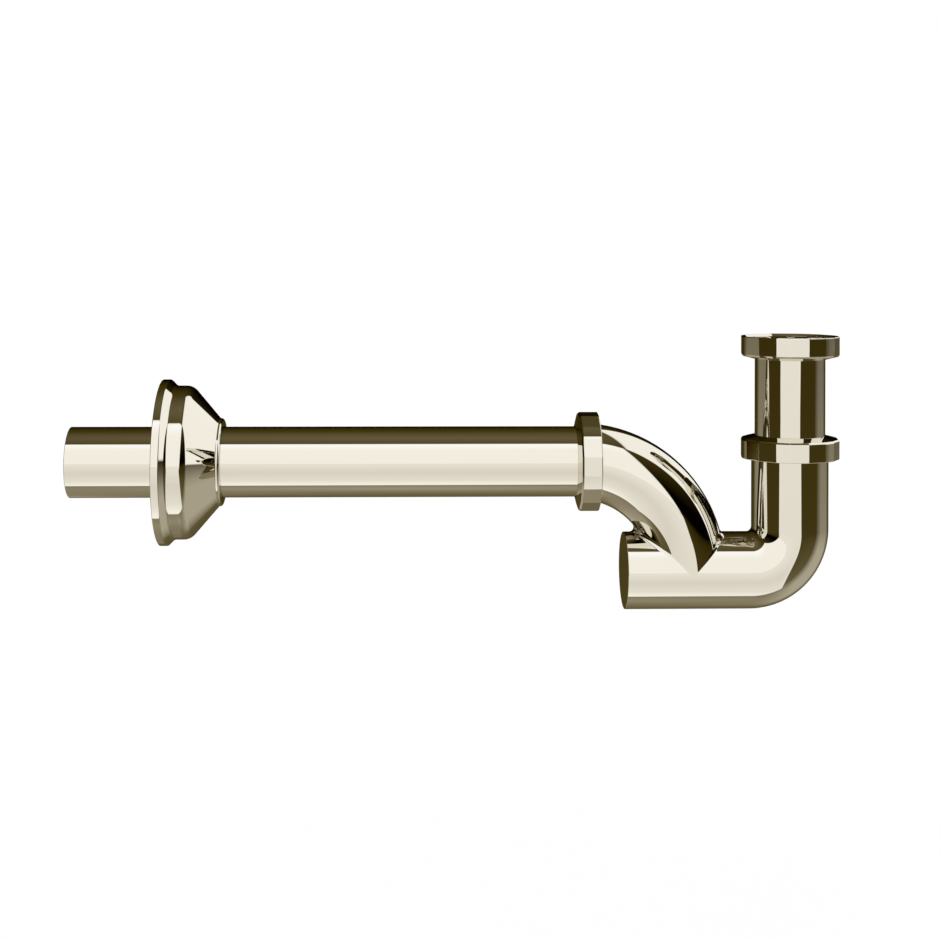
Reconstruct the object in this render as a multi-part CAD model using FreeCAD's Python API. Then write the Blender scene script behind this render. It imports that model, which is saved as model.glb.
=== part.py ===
import FreeCAD, Part
import math
import os
from FreeCAD import Vector

# Tubular basin trap in polished metal, millimetres.
# The origin is the middle of the basin waste's seat, which is the top face of the union gasket.
# +Z points up to the basin and -X points to the wall. The trap lies in the XZ plane.

# Tubes
tube_diameter = 32.0        # outside, of the inlet tube and the outlet tube
tube_wall = 1.0
slip_gap = 0.5              # all round, between a sliding tube and the trap tube that takes it
trap_wall = 1.0             # wall of the bend and of the arm
tube_end_round = 0.3        # outer edge of a cut tube end

# Lengths along the waterway
exposed_inlet = 35.0        # inlet tube seen between its two nuts
leg_height = 51.5           # bottom tube's axis up to the mouth of the inlet nut
outlet_rise = 50.0          # bottom tube's axis up to the outlet axis, also the arm's bend radius
arm_foot = 47.4             # inlet axis to the middle of the arm's foot
elbow_throat = 2.0          # inside radius of the tight elbow's outer surface
stub_overhang = 11.8        # closed stub beyond the arm's foot
disc_thickness = 1.5        # disc that closes the stub
disc_edge_round = 0.25
inlet_insert = 13.5         # inlet tube inside the leg, below the nut's mouth
arm_in_nut = 8.65           # the arm's bend starts this far inside the outlet nut's mouth
bend_clearance = 0.15       # the outlet tube's end stops this clear of the bend's wall
exposed_outlet = 187.85     # outlet nut to the wall face of the flange
wall_insert = 41.5          # outlet tube that goes into the wall
foot_blend = 2.2            # radius of the brazed fillet round the foot of the arm
blend_fade = 10.0           # the fillet stops this many degrees short of the level line
blend_steps = 8             # stations to each side
blend_bite = 0.02           # fillet's edges are sunk into the tubes by this
blend_root = 0.6            # and its root by this
pierce_land = 1.0           # the hole under the arm is smaller than the arm's bore by this
mouth_tip = 1.5             # the fish-mouth's tips are cut square this far above the bottom tube's axis

# Threaded collars and union nuts
collar_wall = 2.715         # over the trap tube: leaves a mean thread diameter of 40.43
collar_setback = 0.5        # collar's inner end inside the nut's mouth
collar_chamfer = 0.5
socket_depth = 3.5          # trap tube inside the collar
thread_gap = 0.05
nut_wall = 2.235            # over the thread, gives 45 over the corners
nut_height = 10.5
nut_shoulder = 1.8          # closed end that bears on the slip ring, at the bore
nut_cone = 1.4              # height of the shallow cone on the closed end
nut_chamfer_width = 0.65
nut_chamfer_height = 0.8
nut_bore_gap = 0.3
nut_lead_in = 0.6           # chamfer at the mouth of the thread
thread_relief = 0.4         # groove behind the thread, deeper than the thread by this
nut_repeat = 6              # pairs of flats round the nut
nut_flat_angle = 22.0       # one flat, seen from the axis
upright_nut_turn = 9.5      # a sharp corner of the upright nuts, from -Y towards +X
outlet_nut_turn = 12.0      # a sharp corner of the outlet nut, from -Y towards +Z

# Seals and slip rings
ring_thickness = 0.85
ring_gap = 0.3              # slip ring to tube and to thread
ring_edge = 0.2             # chamfer
layer_gap = 0.05            # between stacked rings that turn on each other
seal_run_gap = 0.05         # seal to the tube that slides in it
seal_seat_gap = 0.08
seal_lip = 0.3              # straight edge at the thick end of the seal
seal_proud = 0.45           # seal stands out of the collar by this before it is squeezed
seat_land = 0.3             # straight bore between the collar's shoulder and its cone
seat_rim = 1.15             # collar's rim left outside the cone

# Flanged end of the inlet tube
flange_reach = 2.9          # turned-out rim beyond the tube
flange_bend = 0.6
gasket_thickness = 2.0
gasket_inset = 0.2          # gasket's hole is larger than the tube's bore by this, all round

# Wall flange, measured from the wall face along the tube
flange_diameter = 75.0
flange_wall = 1.0
rim_width = 3.4
rim_slope = 2.8
rim_step = 2.8
band_width = 7.1
shoulder_round = 4.4
cone_length = 12.9
neck_reach = 3.9            # neck stands out from the tube
neck_width = 2.6
neck_round = 1.8
neck_fillet = 0.8
flange_edge = 0.35
flange_bore_gap = 0.3
grip_gap = 0.05             # grip ring to the tube and to the neck

# Worked out
tube_r = tube_diameter / 2
tube_bore_r = tube_r - tube_wall
trap_bore_r = tube_r + slip_gap
trap_r = trap_bore_r + trap_wall
collar_r = trap_r + collar_wall
thread_r = collar_r + thread_gap
nut_r = thread_r + nut_wall
nut_bore_r = tube_r + nut_bore_gap
elbow_r = trap_r + elbow_throat

shoulder_height = nut_height - nut_shoulder
ring_foot = shoulder_height - layer_gap - ring_thickness
seal_top = ring_foot - layer_gap
collar_top = seal_top - seal_proud
socket_top = collar_setback + socket_depth
cone_foot = socket_top + seat_land

rim_under_z = -gasket_thickness - tube_wall
union_mouth_z = rim_under_z - layer_gap - ring_thickness - layer_gap + shoulder_height
union_base_z = union_mouth_z - nut_height
inlet_nut_top_z = union_base_z - exposed_inlet
inlet_mouth_z = inlet_nut_top_z - nut_height
bottom_z = inlet_mouth_z - leg_height
outlet_z = bottom_z + outlet_rise

foot_x = -arm_foot
arm_start_x = foot_x - outlet_rise
outlet_mouth_x = arm_start_x + arm_in_nut
outlet_nut_end_x = outlet_mouth_x - nut_height
wall_x = outlet_nut_end_x - exposed_outlet
outlet_tube_end_x = wall_x - wall_insert
stub_end_x = foot_x - trap_r - stub_overhang
bend_bore_r = outlet_rise + trap_bore_r
tube_corner_r = outlet_rise + tube_r + bend_clearance
outlet_tube_start_x = arm_start_x + math.sqrt(bend_bore_r ** 2 - tube_corner_r ** 2)

down = Vector(0, 0, -1)
up = Vector(0, 0, 1)
to_wall = Vector(-1, 0, 0)


def turned(points):
    """Solid turned about Z from a closed outline of (radius, height) points."""
    outline = Part.makePolygon([Vector(r, 0, z) for r, z in points + points[:1]])
    return Part.Face(outline).revolve(Vector(0, 0, 0), up, 360)


def ring_edges(solid, radius, height):
    """Circular edges of a turned solid that lie at this radius and height."""
    found = []
    for edge in solid.Edges:
        if not isinstance(edge.Curve, Part.Circle):
            continue
        if abs(edge.Curve.Radius - radius) < 1e-4 and abs(edge.Curve.Center.z - height) < 1e-4:
            found.append(edge)
    return found


def rounded(solid, size, *rings):
    """Round the circular edges given as (radius, height)."""
    edges = []
    for radius, height in rings:
        edges += ring_edges(solid, radius, height)
    return solid.makeFillet(size, edges)


def seated(solid, base, direction):
    """Stand a solid made on +Z at a base point, pointing along a direction."""
    placed = solid.copy()
    placed.Placement = FreeCAD.Placement(base, FreeCAD.Rotation(up, direction)).multiply(placed.Placement)
    return placed


def rod_along(path, radius):
    """Round bar of one radius swept along a smooth path that starts at its first edge."""
    first = path.Edges[0]
    start = first.valueAt(first.FirstParameter)
    heading = first.tangentAt(first.FirstParameter)
    section = Part.Wire(Part.makeCircle(radius, start, heading))
    return path.makePipeShell([section], True, False)


def bend_path():
    """Centreline of the leg, the tight elbow and the bottom tube."""
    leg_top = Vector(0, 0, inlet_mouth_z + socket_top)
    bend_start = Vector(0, 0, bottom_z + elbow_r)
    bend_end = Vector(-elbow_r, 0, bottom_z)
    slant = elbow_r * (1 - math.sqrt(0.5))
    bend_mid = Vector(-slant, 0, bottom_z + slant)
    stub = Vector(stub_end_x + disc_thickness, 0, bottom_z)
    leg = Part.LineSegment(leg_top, bend_start).toShape()
    elbow = Part.Arc(bend_start, bend_mid, bend_end).toShape()
    bottom = Part.LineSegment(bend_end, stub).toShape()
    return Part.Wire([leg, elbow, bottom])


def arm_path():
    """Centreline of the arm: a quarter turn from the outlet axis down to the bottom tube's axis."""
    reach = outlet_rise * math.sqrt(0.5)
    start = Vector(arm_start_x, 0, outlet_z)
    middle = Vector(arm_start_x + reach, 0, bottom_z + reach)
    end = Vector(foot_x, 0, bottom_z)
    return Part.Wire([Part.Arc(start, middle, end).toShape()])


def arm_core(radius):
    """Solid bar along the arm's centreline, cut square where it enters the outlet collar."""
    bar = rod_along(arm_path(), radius)
    socket_x = outlet_mouth_x - socket_top
    beyond = Part.makeBox(2 * nut_height, 4 * trap_r, 4 * trap_r)
    beyond.translate(Vector(socket_x - 2 * nut_height, -2 * trap_r, outlet_z - 2 * trap_r))
    return bar.cut(beyond)


def trap_bend():
    """Leg, tight elbow and bottom tube bent from one length of tube, pierced under the arm."""
    path = bend_path()
    tube = rod_along(path, trap_r).cut(rod_along(path, trap_bore_r))
    return tube.cut(rod_along(arm_path(), trap_bore_r - pierce_land))


def crotch_point(height, side):
    """Point of the arm's foot on both surfaces, this high above the bottom tube's axis."""
    from_bend = outlet_rise + side * height
    reach = math.sqrt(from_bend ** 2 - height ** 2)
    return arm_start_x + reach, bottom_z + height


def blend_section(angle, side):
    """Outline across the brazed fillet, where a ball would touch the arm and the bottom tube.

    The angle is the ball's place round the bottom tube. Side is 1 outside the arm's bend and
    -1 inside it. The outline's ends are sunk a little into the tubes so that the cuts are clean.
    """
    rolling = trap_r + foot_blend
    height = rolling * math.cos(math.radians(angle))
    aside = rolling * math.sin(math.radians(angle))
    ball_x, ball_z = crotch_point(height, side)
    ball = Vector(ball_x, aside, ball_z)
    bottom_axis = Vector(ball_x, 0, bottom_z)
    bend_centre = Vector(arm_start_x, 0, bottom_z)
    spoke = Vector(ball_x, 0, ball_z) - bend_centre
    arm_axis = bend_centre + spoke * (outlet_rise / spoke.Length)
    sunk = (trap_r - blend_bite) / rolling
    on_bottom = bottom_axis + (ball - bottom_axis) * sunk
    on_arm = arm_axis + (ball - arm_axis) * sunk
    share = trap_r / rolling
    crotch_x, crotch_z = crotch_point(height * share, side)
    to_crotch = (Vector(crotch_x, aside * share, crotch_z) - ball).Length
    inwards = ((on_bottom + on_arm) * 0.5 - ball).normalize()
    arc = Part.Arc(on_bottom, ball + inwards * foot_blend, on_arm).toShape()
    root = ball + inwards * (to_crotch + blend_root)
    return Part.Wire([arc, Part.makeLine(on_arm, root), Part.makeLine(root, on_bottom)])


def foot_fillet(side):
    """Brazed fillet on one side of the arm's foot. It fades out where the two tubes are level."""
    sweep = 90 - blend_fade
    steps = range(-blend_steps, blend_steps + 1)
    sections = [blend_section(sweep * step / blend_steps, side) for step in steps]
    return Part.makeLoft(sections, True)


def outlet_arm():
    """Quarter bend with a fish-mouth foot and its brazed fillet, seated on the bottom tube."""
    tips = Part.makeBox(4 * trap_r, 4 * trap_r, 2 * mouth_tip)
    tips.translate(Vector(foot_x - 2 * trap_r, -2 * trap_r, bottom_z - mouth_tip))
    arm = arm_core(trap_r).cut(tips)
    for side in (1, -1):
        arm = arm.fuse(foot_fillet(side))
    arm = arm.cut(rod_along(bend_path(), trap_r))
    return arm.cut(rod_along(arm_path(), trap_bore_r))


def end_disc():
    """Plain disc that closes the stub, flush with the tube's outside."""
    disc = turned([(0, 0), (trap_r, 0), (trap_r, disc_thickness), (0, disc_thickness)])
    disc = rounded(disc, disc_edge_round, (trap_r, disc_thickness))
    return seated(disc, Vector(stub_end_x + disc_thickness, 0, bottom_z), to_wall)


def collar(socket_r):
    """Threaded collar with a socket of this radius and a cone for the seal, standing on +Z."""
    outline = [
        (collar_r - collar_chamfer, collar_setback),
        (collar_r, collar_setback + collar_chamfer),
        (collar_r, collar_top - collar_chamfer),
        (collar_r - collar_chamfer, collar_top),
        (collar_r - seat_rim, collar_top),
        (trap_bore_r, cone_foot),
    ]
    if socket_r > trap_bore_r:
        outline += [(trap_bore_r, socket_top), (socket_r, socket_top)]
    return turned(outline + [(socket_r, collar_setback)])


def outlet_collar():
    """The same collar on the arm, its socket shaped to the start of the arm's bend."""
    blank = seated(collar(trap_bore_r), Vector(outlet_mouth_x, 0, outlet_z), to_wall)
    return blank.cut(arm_core(trap_r))


def seal():
    """Rubber cone that fits the collar's seat and grips the tube, standing on +Z."""
    slope = (collar_r - seat_rim - trap_bore_r) / (collar_top - cone_foot)
    cone_start = cone_foot + seal_seat_gap * math.hypot(1, slope) / slope
    inner = tube_r + seal_run_gap
    nose_r = trap_bore_r + seal_seat_gap
    nose = cone_start + seal_seat_gap / slope
    lip = seal_top - seal_lip
    lip_r = trap_bore_r + slope * (lip - cone_start)
    return turned([(inner, nose), (nose_r, nose), (lip_r, lip), (lip_r, seal_top), (inner, seal_top)])


def slip_ring(bore):
    """Flat plastic ring under a nut's shoulder, standing on +Z at its own foot."""
    outer = thread_r - ring_gap
    return turned([
        (bore + ring_edge, 0),
        (outer - ring_edge, 0),
        (outer, ring_edge),
        (outer, ring_thickness - ring_edge),
        (outer - ring_edge, ring_thickness),
        (bore + ring_edge, ring_thickness),
        (bore, ring_thickness - ring_edge),
        (bore, ring_edge),
    ])


def nut_outline():
    """Outline of the nut: pairs of flats that meet in a sharp corner, with a round strip between."""
    pieces = []
    step = 360.0 / nut_repeat

    def rim(angle):
        return Vector(nut_r * math.cos(math.radians(angle)), nut_r * math.sin(math.radians(angle)), 0)

    for index in range(nut_repeat):
        corner = index * step
        left = corner - nut_flat_angle
        right = corner + nut_flat_angle
        following = corner + step - nut_flat_angle
        pieces.append(Part.LineSegment(rim(left), rim(corner)).toShape())
        pieces.append(Part.LineSegment(rim(corner), rim(right)).toShape())
        pieces.append(Part.Arc(rim(right), rim((right + following) / 2), rim(following)).toShape())
    return Part.Wire(pieces)


def union_nut():
    """Nut with its threaded mouth at the foot and its closed end on top, standing on +Z."""
    blank = Part.Face(nut_outline()).extrude(up * nut_height)
    edge_r = nut_r - nut_chamfer_width
    spread = 2 * nut_chamfer_width
    climb = spread * nut_chamfer_height / nut_chamfer_width
    cone_edge = nut_height - nut_cone
    form = turned([
        (0, 0),
        (edge_r, 0),
        (edge_r + spread, climb),
        (edge_r + spread, cone_edge - climb),
        (edge_r, cone_edge),
        (nut_bore_r, nut_height),
        (0, nut_height),
    ])
    relief_foot = union_mouth_z
    relief_r = thread_r + thread_relief
    inside = turned([
        (0, 0),
        (thread_r + nut_lead_in, 0),
        (thread_r, nut_lead_in),
        (thread_r, relief_foot),
        (relief_r, relief_foot + thread_relief),
        (relief_r, shoulder_height),
        (nut_bore_r, shoulder_height),
        (nut_bore_r, nut_height),
        (0, nut_height),
    ])
    return blank.common(form).cut(inside)


def turned_nut(angle):
    """The nut with a sharp corner this far round from the side that faces -Y."""
    from_x = angle - 90
    nut = union_nut()
    nut.rotate(Vector(0, 0, 0), up, from_x)
    return nut


def inlet_tube():
    """Plain tube with its top end turned out to a flat rim under the gasket."""
    top = -gasket_thickness
    under = rim_under_z
    foot = inlet_mouth_z - inlet_insert
    rim = tube_r + flange_reach
    tube = turned([
        (tube_bore_r, foot),
        (tube_r, foot),
        (tube_r, under),
        (rim, under),
        (rim, top),
        (tube_bore_r, top),
    ])
    tube = rounded(tube, flange_bend, (tube_r, under))
    tube = rounded(tube, flange_bend + tube_wall, (tube_bore_r, top))
    return rounded(tube, tube_end_round, (tube_r, foot))


def union_gasket():
    """Flat rubber ring that the basin waste seats on."""
    inner = tube_bore_r + gasket_inset
    outer = tube_r + flange_reach
    return turned([(inner, -gasket_thickness), (outer, -gasket_thickness), (outer, 0), (inner, 0)])


def outlet_tube():
    """Plain straight tube from the arm to inside the wall."""
    length = outlet_tube_start_x - outlet_tube_end_x
    tube = turned([(tube_bore_r, 0), (tube_r, 0), (tube_r, length), (tube_bore_r, length)])
    tube = rounded(tube, tube_end_round, (tube_r, 0), (tube_r, length))
    return seated(tube, Vector(outlet_tube_start_x, 0, outlet_z), to_wall)


def flange_stations():
    """Places along the flange: end of rim, foot of slope, end of band, end of cone, end of neck."""
    slope_end = rim_width + rim_slope
    band_end = slope_end + band_width
    cone_end = band_end + cone_length
    return slope_end, band_end, cone_end, cone_end + neck_width


def wall_flange():
    """Spun shell, open to the wall: rim, step, rounded shoulder, cone and a short neck."""
    slope_end, band_end, cone_end, end = flange_stations()
    rim_r = flange_diameter / 2
    band_r = rim_r - rim_step
    neck_r = tube_r + neck_reach
    shell = turned([
        (0, 0),
        (rim_r, 0),
        (rim_r, rim_width),
        (band_r, slope_end),
        (band_r, band_end),
        (neck_r, cone_end),
        (neck_r, end),
        (0, end),
    ])
    shell = rounded(shell, shoulder_round, (band_r, band_end))
    shell = rounded(shell, neck_round, (neck_r, end))
    shell = rounded(shell, neck_fillet, (neck_r, cone_end))
    wall_side = [face for face in shell.Faces if abs(face.BoundBox.ZMax) < 1e-6]
    shell = shell.makeThickness(wall_side, -flange_wall, 1e-4)
    bore = Part.makeCylinder(tube_r + flange_bore_gap, 2 * end)
    shell = shell.cut(bore)
    shell = rounded(shell, flange_edge, (rim_r, 0), (rim_r, rim_width))
    return seated(shell, Vector(wall_x, 0, outlet_z), -to_wall)


def flange_grip_ring():
    """Round rubber ring in the flange's neck that holds it on the tube."""
    inner = tube_r + grip_gap
    outer = tube_r + neck_reach - flange_wall - grip_gap
    section = (outer - inner) / 2
    end = flange_stations()[-1]
    height = end - flange_wall - grip_gap - section
    ring = Part.makeTorus(inner + section, section)
    return seated(ring, Vector(wall_x + height, 0, outlet_z), -to_wall)


def build():
    """Every piece by its name, in its place."""
    union_seat = Vector(0, 0, union_mouth_z)
    inlet_seat = Vector(0, 0, inlet_mouth_z)
    outlet_seat = Vector(outlet_mouth_x, 0, outlet_z)
    ring_bore = tube_r + ring_gap
    pieces = {
        "inlet_tube": inlet_tube(),
        "union_gasket": union_gasket(),
        "union_slip_ring": seated(slip_ring(ring_bore + flange_bend), union_seat + down * ring_foot, down),
        "union_nut": seated(turned_nut(-upright_nut_turn), union_seat, down),
        "inlet_nut": seated(turned_nut(upright_nut_turn), inlet_seat, up),
        "inlet_slip_ring": seated(slip_ring(ring_bore), inlet_seat + up * ring_foot, up),
        "inlet_seal": seated(seal(), inlet_seat, up),
        "inlet_collar": seated(collar(trap_r), inlet_seat, up),
        "trap_bend": trap_bend(),
        "outlet_arm": outlet_arm(),
        "end_disc": end_disc(),
        "outlet_collar": outlet_collar(),
        "outlet_seal": seated(seal(), outlet_seat, to_wall),
        "outlet_slip_ring": seated(slip_ring(ring_bore), outlet_seat + to_wall * ring_foot, to_wall),
        "outlet_nut": seated(turned_nut(outlet_nut_turn), outlet_seat, to_wall),
        "outlet_tube": outlet_tube(),
        "wall_flange": wall_flange(),
        "flange_grip_ring": flange_grip_ring(),
    }
    return pieces


os.makedirs("parts", exist_ok=True)
for name, shape in build().items():
    shape.Solids[0].exportStep(os.path.join("parts", name + ".step"))
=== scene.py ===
"""Polished tubular basin trap: its precise skins, their finishes and a plain studio round them."""

import logging
import math
from collections.abc import Sequence
from dataclasses import dataclass, field
from enum import Enum

import bmesh
import bpy
from mathutils import Matrix, Vector


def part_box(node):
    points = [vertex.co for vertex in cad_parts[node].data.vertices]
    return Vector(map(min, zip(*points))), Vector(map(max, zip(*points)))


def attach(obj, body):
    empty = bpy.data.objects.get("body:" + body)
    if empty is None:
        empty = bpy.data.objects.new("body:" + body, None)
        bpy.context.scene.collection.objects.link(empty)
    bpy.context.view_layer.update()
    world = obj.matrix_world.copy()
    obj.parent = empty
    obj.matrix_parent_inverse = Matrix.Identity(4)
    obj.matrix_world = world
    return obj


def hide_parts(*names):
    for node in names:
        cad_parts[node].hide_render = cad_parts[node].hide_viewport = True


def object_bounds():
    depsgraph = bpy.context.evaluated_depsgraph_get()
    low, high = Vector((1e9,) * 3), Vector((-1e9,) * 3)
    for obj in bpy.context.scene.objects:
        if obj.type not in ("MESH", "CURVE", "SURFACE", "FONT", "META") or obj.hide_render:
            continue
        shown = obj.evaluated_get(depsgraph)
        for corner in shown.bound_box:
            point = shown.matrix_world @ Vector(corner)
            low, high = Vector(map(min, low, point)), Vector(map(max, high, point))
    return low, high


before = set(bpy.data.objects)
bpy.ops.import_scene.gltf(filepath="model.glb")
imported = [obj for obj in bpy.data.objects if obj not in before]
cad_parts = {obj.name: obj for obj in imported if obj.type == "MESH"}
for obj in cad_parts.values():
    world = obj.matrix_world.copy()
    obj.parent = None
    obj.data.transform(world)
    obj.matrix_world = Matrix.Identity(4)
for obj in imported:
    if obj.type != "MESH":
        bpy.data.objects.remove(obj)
cad_low, cad_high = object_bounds()

log = logging.getLogger("trap")

MM = 0.001
TURN = 2 * math.pi

# Sizes that the skins share, in millimetres
TUBE_RADIUS = 16.0
TRAP_RADIUS = 17.5
WALL = 1.0
NUT_RADIUS = 22.5
THREAD_PITCH = 2.309
THREAD_DEPTH = 1.479

# How finely the skins are drawn
ARC_STEP = math.radians(5)
TURNED_SEGMENTS = 256
BEVEL_STEPS = 2

# Margins below which two things count as one: metres, sine of a corner, radians, millimetres
MERGE_DISTANCE = 1e-8
STRAIGHT_CORNER = 1e-9
SMALLEST_SPAN = 1e-5
BORE_MARGIN = 0.01

FRONT = Vector((0, -1, 0))
BACK = Vector((0, 1, 0))
UP = Vector((0, 0, 1))
DOWN = Vector((0, 0, -1))
TO_WALL = Vector((-1, 0, 0))
FROM_WALL = Vector((1, 0, 0))


class Coat(Enum):
    """Which finish a band of a skin has, as the index of its material slot."""

    PLATED = 0
    BARE = 1


class Place:
    """Places read from the frame, in millimetres."""

    @staticmethod
    def low(node: str) -> Vector:
        """Lowest corner of a node."""
        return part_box(node)[0] / MM

    @staticmethod
    def high(node: str) -> Vector:
        """Highest corner of a node."""
        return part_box(node)[1] / MM

    @staticmethod
    def middle(node: str) -> Vector:
        """Middle of a node's box."""
        return (Place.low(node) + Place.high(node)) / 2


@dataclass(frozen=True)
class Axis:
    """A straight line that round things are turned about, with angles from the front."""

    base: Vector
    along: Vector

    def point(self, radius: float, angle: float, height: float) -> Vector:
        """A point by its radius, its angle in radians from the front and its height, in millimetres."""
        side = self.along.cross(FRONT)
        return self.base + self.along * height + (FRONT * math.cos(angle) + side * math.sin(angle)) * radius

    def ring(self, radius: float, height: float, segments: int) -> list[Vector]:
        """A round ring of points about the axis."""
        return [self.point(radius, TURN * step / segments, height) for step in range(segments)]


@dataclass(frozen=True)
class Corner:
    """One corner of an outline, with the radius of the arc that rounds it."""

    radius: float
    height: float
    blend: float = 0.0


def placed(name: str, data: bpy.types.ID) -> bpy.types.Object:
    """Make an object and link it to the scene.

    Args:
        name: Its name.
        data: Its mesh, light or camera.

    Returns:
        The object.
    """
    made = bpy.data.objects.new(name, data)
    bpy.context.scene.collection.objects.link(made)
    return made


@dataclass
class Skin:
    """A closed skin: rings of points, each joined to the next and the last to the first."""

    name: str
    rings: list[list[Vector]] = field(default_factory=list)
    coats: list[Coat] = field(default_factory=list)
    creases: list[float] = field(default_factory=list)

    FINE_CREASE = math.radians(8)

    def add(self, ring: list[Vector], coat: Coat = Coat.PLATED, crease: float = FINE_CREASE) -> None:
        """Add a ring, and say how the band that starts at it looks.

        Args:
            ring: Its points, in millimetres, as many as in every other ring.
            coat: Finish of the band from this ring to the next.
            crease: Edges of that band that turn by more than this, in radians, are sharp.
        """
        self.rings.append(ring)
        self.coats.append(coat)
        self.creases.append(crease)

    def build(self, edge_round: float = 0.0) -> bpy.types.Object:
        """Make the mesh.

        Args:
            edge_round: Size in millimetres of the small round on the sharp edges, or 0 for none.

        Returns:
            The new object, linked to the scene.
        """
        mesh = bmesh.new()
        limit = mesh.faces.layers.float.new("crease_limit")
        columns = [[mesh.verts.new(point * MM) for point in ring] for ring in self.rings]
        count = len(self.rings[0])
        for index, ring in enumerate(columns):
            following = columns[(index + 1) % len(columns)]
            for step in range(count):
                beside = (step + 1) % count
                face = mesh.faces.new((ring[step], ring[beside], following[beside], following[step]))
                face.material_index = self.coats[index].value
                face[limit] = self.creases[index]
                face.smooth = True
        bmesh.ops.remove_doubles(mesh, verts=mesh.verts, dist=MERGE_DISTANCE)
        bmesh.ops.recalc_face_normals(mesh, faces=mesh.faces)
        return self.finish(mesh, limit, edge_round)

    def finish(
        self, mesh: bmesh.types.BMesh, limit: bmesh.types.BMLayerItem, edge_round: float
    ) -> bpy.types.Object:
        """Mark the sharp edges, link the object and give it clean normals.

        Args:
            mesh: The joined mesh.
            limit: Face layer with each band's crease angle.
            edge_round: Size of the small round on the sharp edges, in millimetres.

        Returns:
            The linked object.
        """
        weight = mesh.edges.layers.float.new("bevel_weight_edge")
        for edge in mesh.edges:
            if len(edge.link_faces) != 2:
                continue
            allowed = max(face[limit] for face in edge.link_faces)
            sharp = edge.calc_face_angle() > allowed
            edge.smooth = not sharp
            if sharp and allowed <= self.FINE_CREASE:
                edge[weight] = 1.0
        data = bpy.data.meshes.new(self.name)
        mesh.to_mesh(data)
        mesh.free()
        made = placed(self.name, data)
        if edge_round > 0:
            bevel = made.modifiers.new("edge_round", "BEVEL")
            bevel.limit_method = "WEIGHT"
            bevel.width = edge_round * MM
            bevel.segments = BEVEL_STEPS
            bevel.use_clamp_overlap = True
        normals = made.modifiers.new("clean_normals", "WEIGHTED_NORMAL")
        normals.keep_sharp = True
        return made


def unit(vector: tuple[float, float]) -> tuple[float, float]:
    """A flat vector at length 1."""
    length = math.hypot(*vector)
    return vector[0] / length, vector[1] / length


def rounded(corners: Sequence[Corner]) -> list[tuple[float, float]]:
    """Points of a closed outline with its corners rounded.

    Args:
        corners: The outline's corners in order.

    Returns:
        Radius and height of each point.
    """
    points: list[tuple[float, float]] = []
    for index, corner in enumerate(corners):
        if corner.blend <= 0:
            points.append((corner.radius, corner.height))
            continue
        before = corners[index - 1]
        after = corners[(index + 1) % len(corners)]
        back = unit((before.radius - corner.radius, before.height - corner.height))
        ahead = unit((after.radius - corner.radius, after.height - corner.height))
        half = math.acos(max(-1.0, min(1.0, back[0] * ahead[0] + back[1] * ahead[1]))) / 2
        middle = unit((back[0] + ahead[0], back[1] + ahead[1]))
        reach = corner.blend / math.sin(half)
        centre = (corner.radius + middle[0] * reach, corner.height + middle[1] * reach)
        length = corner.blend / math.tan(half)
        first = (corner.radius + back[0] * length, corner.height + back[1] * length)
        start = math.atan2(first[1] - centre[1], first[0] - centre[0])
        sweep = math.pi - 2 * half
        turn = math.copysign(sweep, back[1] * ahead[0] - back[0] * ahead[1])
        steps = max(1, math.ceil(sweep / ARC_STEP))
        for count in range(steps + 1):
            angle = start + turn * count / steps
            radius = centre[0] + corner.blend * math.cos(angle)
            points.append((radius, centre[1] + corner.blend * math.sin(angle)))
    return points


def inset(corners: Sequence[Corner], wall: float) -> list[Corner]:
    """Corners of a wall's other side, for an open outline walked with the wall on its left.

    Args:
        corners: Corners of the outer side.
        wall: Thickness.

    Returns:
        The inner corners between the first and the last, in the same order, with their arcs to match.
    """
    inner: list[Corner] = []
    for before, corner, after in zip(corners, corners[1:], corners[2:]):
        into = unit((corner.radius - before.radius, corner.height - before.height))
        out = unit((after.radius - corner.radius, after.height - corner.height))
        cross = into[0] * out[1] - into[1] * out[0]
        shift = 0.0
        if abs(cross) > STRAIGHT_CORNER:
            shift = (1 - (into[0] * out[0] + into[1] * out[1])) / cross
        radius = corner.radius - wall * into[1] - wall * shift * into[0]
        height = corner.height + wall * into[0] - wall * shift * into[1]
        grown = corner.blend - wall if cross > 0 else corner.blend + wall
        inner.append(Corner(radius, height, max(grown, 0.0) if corner.blend > 0 else 0.0))
    return inner


def turned(name: str, axis: Axis, points: Sequence[tuple[float, float]], bare_within: float = 0.0) -> Skin:
    """Skin of an outline turned about an axis.

    Args:
        name: Name of the piece.
        axis: What it is turned about.
        points: Closed outline as radius and height.
        bare_within: Bands whose middle lies inside this radius are left unplated.

    Returns:
        The skin, ready to build.
    """
    made = Skin(name)
    for index, (radius, height) in enumerate(points):
        after = points[(index + 1) % len(points)]
        coat = Coat.BARE if (radius + after[0]) / 2 < bare_within else Coat.PLATED
        made.add(axis.ring(radius, height, TURNED_SEGMENTS), coat)
    return made


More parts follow.
